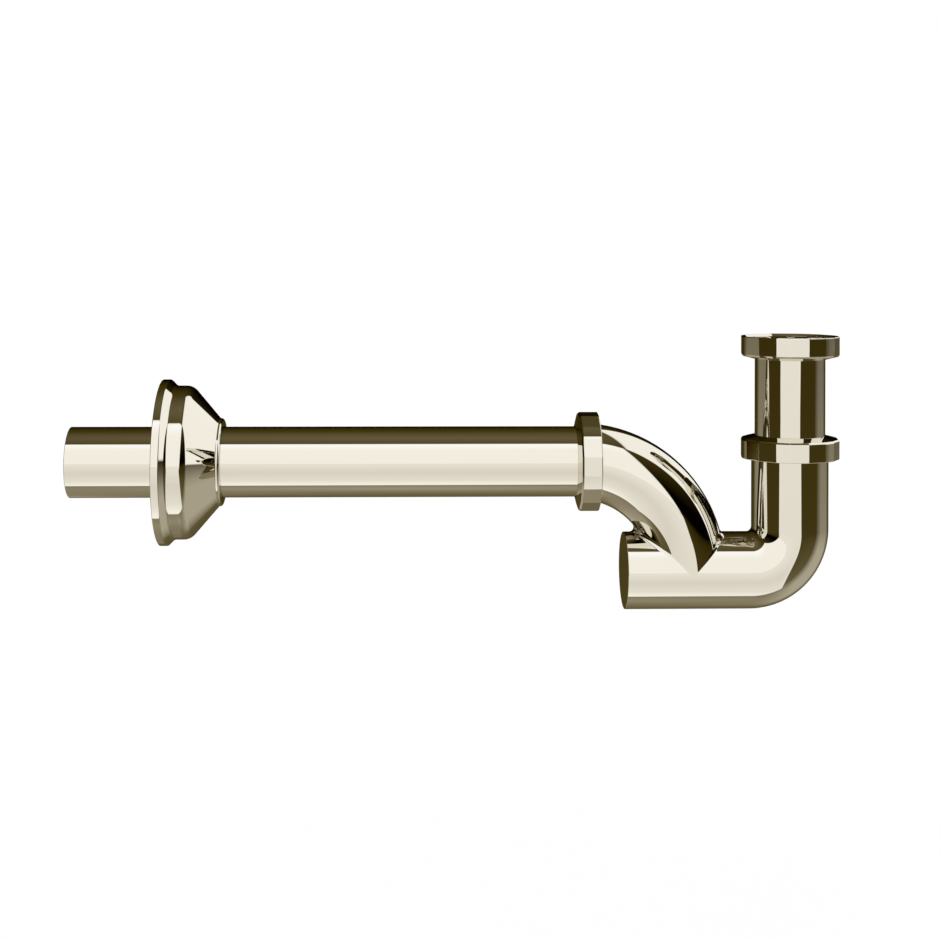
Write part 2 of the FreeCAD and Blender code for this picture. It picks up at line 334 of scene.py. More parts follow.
@dataclass(frozen=True)
class Thread:
    """Fine right-hand pipe thread, as a radius over angle and height."""

    mean_radius: float
    pitch: float = THREAD_PITCH
    depth: float = THREAD_DEPTH

    FLANK = 1.5
    ROUNDNESS = 6
    ROWS_PER_PITCH = 20
    CREASE = math.radians(60)

    def radius(self, angle: float, height: float) -> float:
        """Radius of the thread's surface.

        Args:
            angle: Angle round the axis in radians, by the right-hand rule.
            height: Height along the axis, in millimetres.

        Returns:
            Radius in millimetres, from root to crest.
        """
        phase = (height / self.pitch - angle / TURN) % 1.0
        wave = self.FLANK * (4 * abs(phase - 0.5) - 1)
        held = wave / (1 + abs(wave) ** self.ROUNDNESS) ** (1 / self.ROUNDNESS)
        return self.mean_radius + self.depth / 2 * held

    def heights(self, start: float, end: float) -> list[float]:
        """Heights of the rows from start to end, both ends in."""
        rows = max(2, math.ceil(abs(end - start) / self.pitch * self.ROWS_PER_PITCH))
        return [start + (end - start) * row / rows for row in range(rows + 1)]


@dataclass
class CompressionNut:
    """Nut with pairs of flats, threaded at its mouth and coned at its closed end."""

    name: str
    body: str
    axis: Axis
    corner_angle: float

    height: float = 10.5
    shoulder: float = 1.8
    cone: float = 1.4
    chamfer_width: float = 0.65
    chamfer_height: float = 0.8
    bore_gap: float = 0.3
    lead_in: float = 0.6
    lip: float = 0.55
    countersink: float = 0.55
    thread_start: float = 0.55
    mouth_width: float = 0.45
    mouth_height: float = 0.45
    mouth_steps: int = 4
    thread_end: float = 4.75
    thread_mean: float = 20.265
    thread_clearance: float = 0.04
    repeat: int = 6
    flat_angle: float = 22.0
    steps_on_flat: int = 12
    steps_on_strip: int = 10
    edge_round: float = 0.09

    ROUND_CREASE = math.radians(26)

    def angles(self) -> list[float]:
        """Angles of the columns, with one on each edge of each flat.

        Returns:
            The angles in radians, once round the nut.
        """
        step = self.pair_step
        found: list[float] = []
        for index in range(self.repeat):
            corner = self.corner_angle + index * step
            strip_end = corner + step - self.flat_angle
            spans = (
                (corner - self.flat_angle, corner, self.steps_on_flat),
                (corner, corner + self.flat_angle, self.steps_on_flat),
                (corner + self.flat_angle, strip_end, self.steps_on_strip),
            )
            for start, end, count in spans:
                found += [math.radians(start + (end - start) * part / count) for part in range(count)]
        return found

    def rim(self, angle: float) -> float:
        """Radius of the nut's outside.

        Args:
            angle: Angle round the axis, in radians.

        Returns:
            The radius there, on a flat or on the round strip between two pairs of flats.
        """
        step = self.pair_step
        aside = (math.degrees(angle) - self.corner_angle + step / 2) % step - step / 2
        half = self.flat_angle / 2
        if abs(aside) >= self.flat_angle:
            return NUT_RADIUS
        from_middle = math.radians(abs(aside) - half)
        middle_radius = NUT_RADIUS * math.cos(math.radians(half))
        return middle_radius / math.cos(from_middle)

    def faded(self, radius: float, height: float, relief: float, mouth_bore: float) -> float:
        """Radius of the thread where it fades out at its foot and at the mouth.

        Args:
            radius: Radius of the full thread there.
            height: Height along the axis.
            relief: Radius that it fades to at its foot.
            mouth_bore: Radius that it fades to at the mouth.

        Returns:
            The radius in millimetres.
        """
        foot_fade = max(0.0, 1 - (self.thread_end - height) / self.lead_in)
        mouth_fade = max(0.0, 1 - (height - self.thread_start) / self.lead_in)
        radius += (relief - radius) * foot_fade
        return radius + (mouth_bore - radius) * mouth_fade

    def build(self) -> bpy.types.Object:
        """Make the nut.

        Returns:
            The nut's object.
        """
        angles = self.angles()
        skin = Skin(self.name)
        thread = Thread(self.thread_mean)
        bore = TUBE_RADIUS + self.bore_gap
        cone_edge = self.height - self.cone
        ledge = self.height - self.shoulder
        relief = self.thread_mean + (THREAD_DEPTH / 2 + self.thread_clearance)

        def even(radius: float, height: float) -> list[Vector]:
            """Round ring with the nut's columns."""
            return [self.axis.point(radius, angle, height) for angle in angles]

        def on_rim(height: float, cut: float = 0.0) -> list[Vector]:
            """Ring on the nut's outside, or this far inside it."""
            return [self.axis.point(self.rim(angle) - cut, angle, height) for angle in angles]

        lip = relief + self.lip
        skin.add(even(lip, 0))
        for step in range(self.mouth_steps, -1, -1):
            turn = math.pi / 2 * step / self.mouth_steps
            cut = self.mouth_width * (1 - math.cos(turn))
            mouth = on_rim(self.mouth_height * (1 - math.sin(turn)), cut)
            skin.add(mouth, crease=self.ROUND_CREASE if step else Skin.FINE_CREASE)
        skin.add(on_rim(cone_edge - self.chamfer_height))
        skin.add(on_rim(cone_edge, self.chamfer_width))
        skin.add(even(bore, self.height))
        skin.add(even(bore, ledge), Coat.BARE)
        skin.add(even(relief, ledge), Coat.BARE)
        mouth_bore = lip - self.countersink
        for height in thread.heights(self.thread_end, self.thread_start):
            ring = []
            for angle in angles:
                radius = self.faded(thread.radius(angle, height), height, relief, mouth_bore)
                ring.append(self.axis.point(radius, angle, height))
            skin.add(ring, Coat.BARE, Thread.CREASE)
        if self.thread_start > self.countersink:
            skin.add(even(mouth_bore, self.thread_start), crease=self.ROUND_CREASE)
        skin.add(even(mouth_bore, self.countersink), crease=self.ROUND_CREASE)
        made = skin.build(self.edge_round)
        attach(made, self.body)
        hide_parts(self.name_of_node)
        return made

    @property
    def pair_step(self) -> float:
        """From one pair of flats to the next, in degrees."""
        return 360 / self.repeat

    @property
    def name_of_node(self) -> str:
        """The solid that this nut stands for."""
        return self.name.removesuffix("_skin")


@dataclass
class Collar:
    """Threaded collar brazed on a tube, with a cone inside for the seal."""

    name: str
    axis: Axis

    start: float = 0.5
    end: float = 7.3
    thread_mean: float = 20.215
    chamfer: float = 0.5
    bore_gap: float = 0.5
    seat_rim: float = 1.15
    seat_foot: float = 4.3
    socket_top: float = 4.0
    segments: int = 192

    def socket_ring(self, height: float) -> list[Vector]:
        """The socket's wall at a height, where it meets the tube."""
        return self.axis.ring(TRAP_RADIUS, height, self.segments)

    def build(self) -> bpy.types.Object:
        """Make the collar.

        Returns:
            The collar's object.
        """
        skin = Skin(self.name)
        thread = Thread(self.thread_mean)
        bore = TUBE_RADIUS + self.bore_gap
        low = self.thread_mean - THREAD_DEPTH / 2

        def even(radius: float, height: float) -> list[Vector]:
            """Round ring with the collar's columns."""
            return self.axis.ring(radius, height, self.segments)

        for height in thread.heights(self.start, self.end):
            room = min(height - self.start, self.end - height) + low - self.chamfer / 2
            ring = []
            for step in range(self.segments):
                angle = TURN * step / self.segments
                ring.append(self.axis.point(min(thread.radius(angle, height), room), angle, height))
            skin.add(ring, Coat.BARE, Thread.CREASE)
        skin.add(even(self.thread_mean - self.seat_rim, self.end), Coat.BARE)
        skin.add(even(bore, self.seat_foot), Coat.BARE)
        skin.add(even(bore, self.socket_top), Coat.BARE)
        skin.add(self.socket_ring(self.socket_top), Coat.BARE)
        skin.add(self.socket_ring(self.start), Coat.BARE)
        made = skin.build()
        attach(made, "trap")
        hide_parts(self.name.removesuffix("_skin"))
        return made


@dataclass(frozen=True)
class ArmPath:
    """The arm's quarter bend: its centre in the bend's plane and its radius, in millimetres."""

    centre_x: float
    centre_z: float
    radius: float

    def point(self, tube: float, round_angle: float, bend_angle: float) -> Vector:
        """A point on a tube that follows the bend.

        Args:
            tube: Radius of the tube.
            round_angle: Angle round the tube, from the outer side of the bend towards +Y.
            bend_angle: Angle along the bend, from the outlet down to the foot.

        Returns:
            The point, in millimetres.
        """
        out = Vector((math.sin(bend_angle), 0, math.cos(bend_angle)))
        spoke = self.radius + tube * math.cos(round_angle)
        return Vector((self.centre_x, tube * math.sin(round_angle), self.centre_z)) + out * spoke

    def angle_at(self, tube: float, round_angle: float, ahead: float) -> float:
        """Bend angle at which a line of the tube is this far ahead of the bend's centre."""
        return math.asin(ahead / (self.radius + tube * math.cos(round_angle)))


@dataclass
class OutletCollar(Collar):
    """The collar on the arm, whose socket follows the start of the bend."""

    path: ArmPath = field(kw_only=True)

    def socket_ring(self, height: float) -> list[Vector]:
        """The socket's wall, on the arm's own surface.

        Args:
            height: Distance along the collar, from the nut's mouth.

        Returns:
            The ring of points, in millimetres.
        """
        ahead = self.axis.base.x - height - self.path.centre_x
        ring = []
        for step in range(self.segments):
            angle = TURN * step / self.segments - math.pi / 2
            ring.append(self.path.point(TRAP_RADIUS, -angle, self.path.angle_at(TRAP_RADIUS, angle, ahead)))
        return ring


@dataclass
class TrapBody:
    """The bent tube of leg, tight elbow and bottom tube, and the arm that is brazed on it."""

    throat: float = 2.0
    socket_top: float = 4.0
    arm_in_nut: float = 8.65
    pierce_radius: float = 15.5
    blend: float = 2.2
    around: int = 240
    elbow_rings: int = 60
    arm_rows: int = 110
    blend_rows: int = 14
    hole_margin: float = 22.0
    hole_ring_step: float = 2.0
    drill_columns: int = 96
    drill_levels: tuple[float, ...] = (62.0, 74.0, 86.0)

    bottom_z: float = field(init=False)
    outlet_z: float = field(init=False)
    leg_top: float = field(init=False)
    stub_x: float = field(init=False)
    mouth_x: float = field(init=False)
    bend_radius: float = field(init=False)
    path: ArmPath = field(init=False)
    foot_x: float = field(init=False)
    arm_top: float = field(init=False)

    def __post_init__(self) -> None:
        """Read the places that the pieces share."""
        self.bottom_z = Place.middle("end_disc").z
        self.outlet_z = Place.middle("outlet_tube").z
        self.leg_top = Place.low("inlet_nut").z + self.socket_top
        self.stub_x = Place.high("end_disc").x
        self.mouth_x = Place.high("outlet_nut").x
        self.bend_radius = TRAP_RADIUS + self.throat
        rise = self.outlet_z - self.bottom_z
        self.path = ArmPath(self.mouth_x - self.arm_in_nut, self.bottom_z, rise)
        self.foot_x = self.path.centre_x + rise
        self.arm_top = self.mouth_x - self.socket_top - self.path.centre_x

    def stations(self) -> list[tuple[Vector, Vector]]:
        """Places along the bent tube, from the leg's top to the stub.

        Returns:
            Each place, with the direction that is outward in the bend's plane.
        """
        radius = self.bend_radius
        found = [(Vector((0, 0, self.leg_top)), FROM_WALL)]
        centre = Vector((-radius, 0, self.bottom_z + radius))
        for step in range(self.elbow_rings + 1):
            angle = math.pi / 2 * step / self.elbow_rings
            out = Vector((math.cos(angle), 0, -math.sin(angle)))
            found.append((centre + out * radius, out))
        x = self.foot_x + self.hole_margin
        while x > self.foot_x - self.hole_margin:
            found.append((Vector((x, 0, self.bottom_z)), DOWN))
            x -= self.hole_ring_step
        found.append((Vector((self.stub_x, 0, self.bottom_z)), DOWN))
        return found

    def pipe_ring(self, place: Vector, out: Vector, radius: float) -> list[Vector]:
        """Ring of the bent tube round a place, from its outward side in the bend's plane."""
        angles = [TURN * step / self.around for step in range(self.around)]
        return [place + (out * math.cos(angle) + BACK * math.sin(angle)) * radius for angle in angles]

    def bend(self) -> bpy.types.Object:
        """The bent tube, pierced under the arm.

        Returns:
            The tube's object.
        """
        skin = Skin("trap_bend_skin")
        stations = self.stations()
        for place, out in stations[:-1]:
            skin.add(self.pipe_ring(place, out, TRAP_RADIUS))
        skin.add(self.pipe_ring(*stations[-1], TRAP_RADIUS), Coat.BARE)
        for place, out in reversed(stations):
            skin.add(self.pipe_ring(place, out, TRAP_RADIUS - WALL), Coat.BARE)
        made = skin.build()
        self.pierce(made)
        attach(made, "trap")
        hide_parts("trap_bend")
        return made

    def drill(self) -> bpy.types.Object:
        """The cutter for the waterway's hole, a short length of the arm's inside.

        Returns:
            The cutter's object.
        """
        drill = bmesh.new()
        steps = self.drill_columns
        rings = []
        for level in self.drill_levels:
            along = math.radians(level)
            turns = [TURN * step / steps for step in range(steps)]
            points = [self.path.point(self.pierce_radius, turn, along) for turn in turns]
            rings.append([drill.verts.new(point * MM) for point in points])
        for lower, upper in zip(rings, rings[1:]):
            for step in range(steps):
                beside = (step + 1) % steps
                drill.faces.new((lower[step], lower[beside], upper[beside], upper[step]))
        drill.faces.new(rings[0])
        drill.faces.new(rings[-1])
        bmesh.ops.recalc_face_normals(drill, faces=drill.faces)
        data = bpy.data.meshes.new("drill")
        drill.to_mesh(data)
        drill.free()
        return placed("drill", data)

    def pierce(self, tube: bpy.types.Object) -> None:
        """Cut the waterway's hole under the arm.

        Args:
            tube: The bent tube, still without its hole.
        """
        cutter = self.drill()
        cut = tube.modifiers.new("hole", "BOOLEAN")
        cut.object = cutter
        cut.solver = "EXACT"
        tube.modifiers.move(len(tube.modifiers) - 1, 0)
        bpy.context.view_layer.update()
        evaluated = tube.evaluated_get(bpy.context.evaluated_depsgraph_get())
        pierced = bpy.data.meshes.new_from_object(evaluated)
        tube.modifiers.clear()
        tube.data = pierced
        bpy.data.objects.remove(cutter)

    def arm(self) -> bpy.types.Object:
        """The arm with its fish-mouth foot and the brazed fillet round it.

        Returns:
            The arm's object.
        """
        skin = Skin("outlet_arm_skin")
        columns = [TURN * step / self.around for step in range(self.around)]
        self.arm_outside(skin, columns)
        self.arm_bore(skin, columns)
        made = skin.build()
        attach(made, "trap")
        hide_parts("outlet_arm")
        return made

    def arm_outside(self, skin: Skin, columns: Sequence[float]) -> None:
        """Add the arm's outside and the fillet at its foot.

        A ball that touches the arm and the bottom tube rolls round the foot. It sets where the arm
        ends, the fillet's arc and where the fillet meets the bottom tube.

        Args:
            skin: The arm's skin.
            columns: Angles round the arm, one for each column.
        """
        path = self.path
        rolling = TRAP_RADIUS + self.blend
        ends, balls = [], []
        for angle in columns:
            spoke = path.radius + rolling * math.cos(angle)
            height = rolling * abs(math.cos(angle))
            ahead = math.sqrt(spoke ** 2 - height ** 2)
            ends.append(math.asin(ahead / spoke))
            aside = rolling * math.sin(angle)
            balls.append(Vector((path.centre_x + ahead, aside, self.bottom_z + height)))
        starts = [path.angle_at(TRAP_RADIUS, angle, self.arm_top) for angle in columns]
        for row in range(self.arm_rows):
            share = row / self.arm_rows
            ring = []
            for angle, top, end in zip(columns, starts, ends):
                ring.append(path.point(TRAP_RADIUS, angle, top + (end - top) * share))
            skin.add(ring)
        for row in range(self.blend_rows + 1):
            share = row / self.blend_rows
            touches = zip(columns, ends, balls)
            skin.add([self.fillet_point(angle, end, ball, share) for angle, end, ball in touches])

    def fillet_point(self, angle: float, end: float, ball: Vector, share: float) -> Vector:
        """A point of the fillet at the arm's foot.

        Args:
            angle: Angle of its column round the arm.
            end: Bend angle at which the ball touches the arm.
            ball: Middle of the ball.
            share: How far along the fillet's arc, from 0 on the arm to 1 on the bottom tube.

        Returns:
            The point, in millimetres.
        """
        to_arm = self.path.point(TRAP_RADIUS, angle, end) - ball
        to_tube = Vector((ball.x, TRAP_RADIUS * math.sin(angle), 0)) - ball
        to_tube.z = self.bottom_z + TRAP_RADIUS * abs(math.cos(angle)) - ball.z
        span = to_arm.angle(to_tube, 0.0)
        if span < SMALLEST_SPAN:
            return ball + to_tube
        near = to_arm * math.sin((1 - share) * span) + to_tube * math.sin(share * span)
        return ball + near / math.sin(span)

    def arm_bore(self, skin: Skin, columns: Sequence[float]) -> None:
        """Add the arm's bore, from the bottom tube back up to the arm's end.

        Args:
            skin: The arm's skin.
            columns: Angles round the arm, one for each column.
        """
        path = self.path
        bore = TRAP_RADIUS - WALL
        feet = []
        for angle in columns:
            spoke = path.radius + bore * math.cos(angle)
            height = math.sqrt(TRAP_RADIUS ** 2 - (bore * math.sin(angle)) ** 2)
            feet.append(math.acos(height / spoke))
        tops = [path.angle_at(bore, angle, self.arm_top) for angle in columns]
        for row in range(self.arm_rows + 1):
            share = row / self.arm_rows
            ring = []
            for angle, foot, top in zip(columns, feet, tops):
                ring.append(path.point(bore, angle, foot + (top - foot) * share))
            skin.add(ring, Coat.BARE)


@dataclass
class InletTube:
    """Plain upright tube with its top turned out under the gasket."""

    flare: float = 2.9
    flare_round: float = 0.6
    end_round: float = 0.3

    def build(self) -> bpy.types.Object:
        """Make the tube.

        Returns:
            The tube's object.
        """
        foot = Place.low("inlet_tube").z
        top = Place.high("inlet_tube").z
        inner = TUBE_RADIUS - WALL
        rim = TUBE_RADIUS + self.flare
        corners = (
            Corner(inner, foot),
            Corner(TUBE_RADIUS, foot, self.end_round),
            Corner(TUBE_RADIUS, top - WALL, self.flare_round),
            Corner(rim, top - WALL),
            Corner(rim, top),
            Corner(inner, top, self.flare_round + WALL),
        )
        axis = Axis(Vector((0, 0, 0)), UP)
        skin = turned("inlet_tube_skin", axis, rounded(corners), inner + BORE_MARGIN)
        made = skin.build()
        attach(made, "inlet")
        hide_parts("inlet_tube")
        return made


@dataclass
class WallOutlet:
    """The long tube to the wall and the stepped, coned flange on it."""

    end_round: float = 0.3
    flange_radius: float = 37.5
    rim_width: float = 3.4
    rim_slope: float = 2.8
    rim_step: float = 2.8
    band_width: float = 7.1
    shoulder_round: float = 5.8
    cone_length: float = 12.7
    neck_reach: float = 3.9
    neck_width: float = 1.62
    neck_round: float = 1.2
    neck_fillet: float = 0.8
    edge_round: float = 0.35
    rim_round: float = 0.8
    slope_fillet: float = 2.6
    bore_gap: float = 0.3
    grip_gap: float = 0.05
    grip_steps: int = 40

    GRIP_CREASE = math.radians(30)

    @property
    def cone_end(self) -> float:
        """From the wall to where the neck begins."""
        return self.rim_width + self.rim_slope + self.band_width + self.cone_length

    def tube(self) -> bpy.types.Object:
        """The long tube.

        Returns:
            The tube's object.
        """
        middle = Place.middle("outlet_tube")
        start = Place.high("outlet_tube").x
        length = start - Place.low("outlet_tube").x
        inner = TUBE_RADIUS - WALL
        corners = (
            Corner(inner, 0),
            Corner(TUBE_RADIUS, 0, self.end_round),
            Corner(TUBE_RADIUS, length, self.end_round),
            Corner(inner, length),
        )
        axis = Axis(Vector((start, 0, middle.z)), TO_WALL)
        skin = turned("outlet_tube_skin", axis, rounded(corners), inner + BORE_MARGIN)
        made = skin.build()
        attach(made, "outlet_tube")
        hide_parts("outlet_tube")
        return made

    def flange(self) -> bpy.types.Object:
        """The spun flange, open to the wall.

        Returns:
            The flange's object.
        """
        band = self.flange_radius - self.rim_step
        neck = TUBE_RADIUS + self.neck_reach
        bore = TUBE_RADIUS + self.bore_gap
        slope_end = self.rim_width + self.rim_slope
        band_end = slope_end + self.band_width
        end = self.cone_end + self.neck_width
        outside = [
            Corner(self.flange_radius, 0),
            Corner(self.flange_radius, self.rim_width, self.rim_round),
            Corner(band, slope_end, self.slope_fillet),
            Corner(band, band_end, self.shoulder_round),
            Corner(neck, self.cone_end, self.neck_fillet),
            Corner(neck, end, self.neck_round),
            Corner(bore, end),
        ]
        inside = inset(outside, WALL)
        closed = [
            Corner(self.flange_radius, 0, self.edge_round),
            *outside[1:],
            Corner(bore, end - WALL),
            *reversed(inside),
            Corner(self.flange_radius - WALL, 0),
        ]
        points = rounded(closed)
        skin = turned("wall_flange_skin", self.flange_axis(), points)
        for index in range(points.index((bore, end - WALL)), len(points) - 1):
            skin.coats[index] = Coat.BARE
        made = skin.build()
        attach(made, "wall_flange")
        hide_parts("wall_flange")
        return made

    def flange_axis(self) -> Axis:
        """The flange's axis, from the wall."""
        return Axis(Vector((Place.low("wall_flange").x, 0, Place.middle("wall_flange").z)), FROM_WALL)

    def grip(self) -> bpy.types.Object:
        """The round rubber ring inside the neck.

        Returns:
            The ring's object.
        """
        inner = TUBE_RADIUS + self.grip_gap
        section = (TUBE_RADIUS + self.neck_reach - WALL - self.grip_gap - inner) / 2
        middle = self.cone_end + self.neck_width - WALL - self.grip_gap - section
        points = []
        for step in range(self.grip_steps):
            turn = TURN * step / self.grip_steps
            points.append((inner + section + section * math.cos(turn), middle + section * math.sin(turn)))
        skin = turned("flange_grip_ring_skin", self.flange_axis(), points)
        skin.creases = [self.GRIP_CREASE] * len(points)
        made = skin.build()
        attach(made, "grip_ring")
        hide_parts("flange_grip_ring")
        return made


class Value:
    """A number in a node tree, for shader maths written as Python expressions."""

    def __init__(self, graph: "Graph", socket: bpy.types.NodeSocket) -> None:
        """Wrap an output socket of a graph."""
        self.graph = graph
        self.socket = socket

    def maths(self, operation: str, *others: "Value | float") -> "Value":
        """Apply a Math node's operation to this value and others."""
        inputs = dict(enumerate((self, *others)))
        return self.graph.value("ShaderNodeMath", {"operation": operation}, inputs)

    def __add__(self, other: "Value | float") -> "Value":
        """Sum."""
        return self.maths("ADD", other)

    def __radd__(self, other: float) -> "Value":
        """Sum with the number first."""
        return self.maths("ADD", other)

    def __sub__(self, other: "Value | float") -> "Value":
        """Difference."""
        return self.maths("SUBTRACT", other)

    def __rsub__(self, other: float) -> "Value":
        """Difference with the number first."""
        return self.graph.value("ShaderNodeMath", {"operation": "SUBTRACT"}, {0: other, 1: self})

    def __mul__(self, other: "Value | float") -> "Value":
        """Product."""
        return self.maths("MULTIPLY", other)

    def __rmul__(self, other: float) -> "Value":
        """Product with the number first."""
        return self.maths("MULTIPLY", other)

    def __truediv__(self, other: "Value | float") -> "Value":
        """Quotient."""
        return self.maths("DIVIDE", other)

    def __neg__(self) -> "Value":
        """The value with its sign changed."""
        return self.maths("MULTIPLY", -1.0)

    def clamp(self) -> "Value":
        """The value held between 0 and 1."""
        return self.graph.value("ShaderNodeClamp", {}, {0: self})

    def inside(self, soft: float) -> "Value":
        """1 where the value is above 0 and 0 where it is below, with a change this wide."""
        return (self / soft + 0.5).clamp()


class Graph:
    """A node tree under construction."""

    def __init__(self, tree: bpy.types.NodeTree) -> None:
        """Empty a tree and take it over."""
        self.tree = tree
        tree.nodes.clear()

    def node(self, kind: str, settings: dict, inputs: dict) -> bpy.types.Node:
        """Add a node.

        Args:
            kind: Its type.
            settings: Its settings, made first. A ramp's are a list of position and colour under "stops".
            inputs: Values or links of its sockets, by name or number.

        Returns:
            The node.
        """
        made = self.tree.nodes.new(kind)
        for name, value in settings.items():
            if name == "stops":
                self.set_stops(made.color_ramp, value)
            else:
                setattr(made, name, value)
        for name, value in inputs.items():
            if isinstance(value, Value):
                value = value.socket
            if isinstance(value, bpy.types.NodeSocket):
                self.tree.links.new(value, made.inputs[name])
            else:
                made.inputs[name].default_value = value
        return made

    def set_stops(self, ramp: bpy.types.ColorRamp, stops: Sequence[tuple]) -> None:
        """Give a ramp its stops.

        Args:
            ramp: The ramp.
            stops: Each stop's position and colour, in order.
        """
        while len(ramp.elements) > 1:
            ramp.elements.remove(ramp.elements[-1])
        for index, (position, colour) in enumerate(stops):
            element = ramp.elements[0] if index == 0 else ramp.elements.new(position)
            element.position = position
            element.color = (*colour, 1.0)

    def value(self, kind: str, settings: dict, inputs: dict, output: int | str = 0) -> Value:
        """Add a node and wrap one of its outputs."""
        return Value(self, self.node(kind, settings, inputs).outputs[output])

    def mix(self, factor: Value | float, first: object, second: object) -> bpy.types.NodeSocket:
        """Blend two colours.

        Args:
            factor: 0 for the first, 1 for the second.
            first: Colour or socket.
            second: Colour or socket.

        Returns:
            The blended colour's socket.
        """
        made = self.node("ShaderNodeMix", {"data_type": "RGBA"}, {0: factor})
        for name, colour in ((6, first), (7, second)):
            if isinstance(colour, bpy.types.NodeSocket):
                self.tree.links.new(colour, made.inputs[name])
            else:
                made.inputs[name].default_value = (*colour, 1.0)
        return made.outputs[2]


def linear(level: int) -> float:
    """Light of a screen's level, by the curve of standard screens."""
    share = level / 255
    return share / 12.92 if share <= 0.04045 else ((share + 0.055) / 1.055) ** 2.4


class Surface:
    """A material under construction, with noise that follows the piece and a Principled surface."""

    def __init__(self, name: str) -> None:
        """Start a material.

        Args:
            name: Its name.
        """
        self.made = bpy.data.materials.new(name)
        self.made.use_nodes = True
        self.graph = Graph(self.made.node_tree)
        self.place = self.graph.node("ShaderNodeTexCoord", {}, {}).outputs["Object"]

    def noise(self, scale: float, detail: float) -> Value:
        """Noise over the piece, from 0 to 1."""
        inputs = {"Vector": self.place, "Scale": scale, "Detail": detail}
        return self.graph.value("ShaderNodeTexNoise", {}, inputs)

    def bump(self, height: Value, strength: float, distance: float) -> bpy.types.NodeSocket:
        """Normal of a surface that these heights raise, by a distance in metres at most."""
        inputs = {"Strength": strength, "Distance": distance, "Height": height}
        return self.graph.node("ShaderNodeBump", {}, inputs).outputs["Normal"]

    def close(self, inputs: dict) -> bpy.types.Material:
        """End the material with its Principled surface.

        Args:
            inputs: Values or links of the surface's sockets, by name.

        Returns:
            The finished material.
        """
        surface = self.graph.node("ShaderNodeBsdfPrincipled", {}, inputs)
        self.graph.node("ShaderNodeOutputMaterial", {}, {"Surface": surface.outputs["BSDF"]})
        return self.made


@dataclass(frozen=True)
class PolishedNickel:
    """Nickel plate over polished brass: a warm mirror with a very faint haze and fine polishing lines."""

    colour: tuple[float, float, float] = (0.785, 0.757, 0.675)
    deep_colour: tuple[float, float, float] = (0.775, 0.745, 0.660)
    roughness: float = 0.012
    haze: float = 0.014
    haze_from: float = 0.35
    haze_scale: float = 28.0
    haze_detail: float = 3.0
    line_scale: float = 900.0
    line_detail: float = 2.0
    line_strength: float = 0.25
    line_height: float = 0.0000004

    def material(self) -> bpy.types.Material:
        """Make the material.

        Returns:
            The finished material.
        """
        surface = Surface("polished_nickel")
        cloud = surface.noise(self.haze_scale, self.haze_detail)
        lines = surface.noise(self.line_scale, self.line_detail)
        return surface.close(
            {
                "Base Color": surface.graph.mix(cloud, self.colour, self.deep_colour),
                "Metallic": 1.0,
                "Roughness": self.roughness + self.haze * (cloud - self.haze_from).clamp(),
                "Normal": surface.bump(lines, self.line_strength, self.line_height),
            }
        )


@dataclass(frozen=True)
class BareBrass:
    """Unplated brass inside the tubes and threads: dull, drawn, with a brown tarnish, and both tones
    darkened below clean brass as painted shade for the dark insides.
    """

    # Both tones are darker than clean brass: partly real tarnish, partly painted shade standing in for the
    # dark insides of the bores and threads.
    colour: tuple[float, float, float] = (0.42, 0.31, 0.15)
    tarnish_and_shade: tuple[float, float, float] = (0.17, 0.115, 0.055)
    tarnish_from: float = 0.4
    tarnish_contrast: float = 3.0
    tarnish_scale: float = 60.0
    tarnish_detail: float = 5.0
    roughness: float = 0.32
    spread: float = 0.22
    grain_scale: float = 1500.0
    grain_detail: float = 2.0
    grain_strength: float = 0.3
    grain_height: float = 0.00002

    def material(self) -> bpy.types.Material:
        """Make the material.

        Returns:
            The finished material.
        """
        surface = Surface("bare_brass")
        cloud = surface.noise(self.tarnish_scale, self.tarnish_detail)
        grain = surface.noise(self.grain_scale, self.grain_detail)
        tarnished = ((cloud - self.tarnish_from) * self.tarnish_contrast).clamp()
        return surface.close(
            {
                "Base Color": surface.graph.mix(tarnished, self.colour, self.tarnish_and_shade),
                "Metallic": 1.0,
                "Roughness": self.roughness + self.spread * cloud,
                "Normal": surface.bump(grain, self.grain_strength, self.grain_height),
            }
        )


@dataclass(frozen=True)
class Moulded:
    """Moulded rubber or plastic: a body colour with mottling and a fine moulded grain."""

    name: str
    colour: tuple[float, float, float]
    second: tuple[float, float, float]
    roughness: float
    grain_height: float
    spread: float = 0.15
    mottle_scale: float = 180.0
    mottle_detail: float = 4.0
    grain_scale: float = 3000.0
    grain_detail: float = 2.0
    grain_strength: float = 0.4

    def material(self) -> bpy.types.Material:
        """Make the material.

        Returns:
            The finished material.
        """
        surface = Surface(self.name)
        cloud = surface.noise(self.mottle_scale, self.mottle_detail)
        grain = surface.noise(self.grain_scale, self.grain_detail)
        return surface.close(
            {
                "Base Color": surface.graph.mix(cloud, self.colour, self.second),
                "Roughness": self.roughness + self.spread * (cloud - 0.5),
                "Normal": surface.bump(grain, self.grain_strength, self.grain_height),
            }
        )


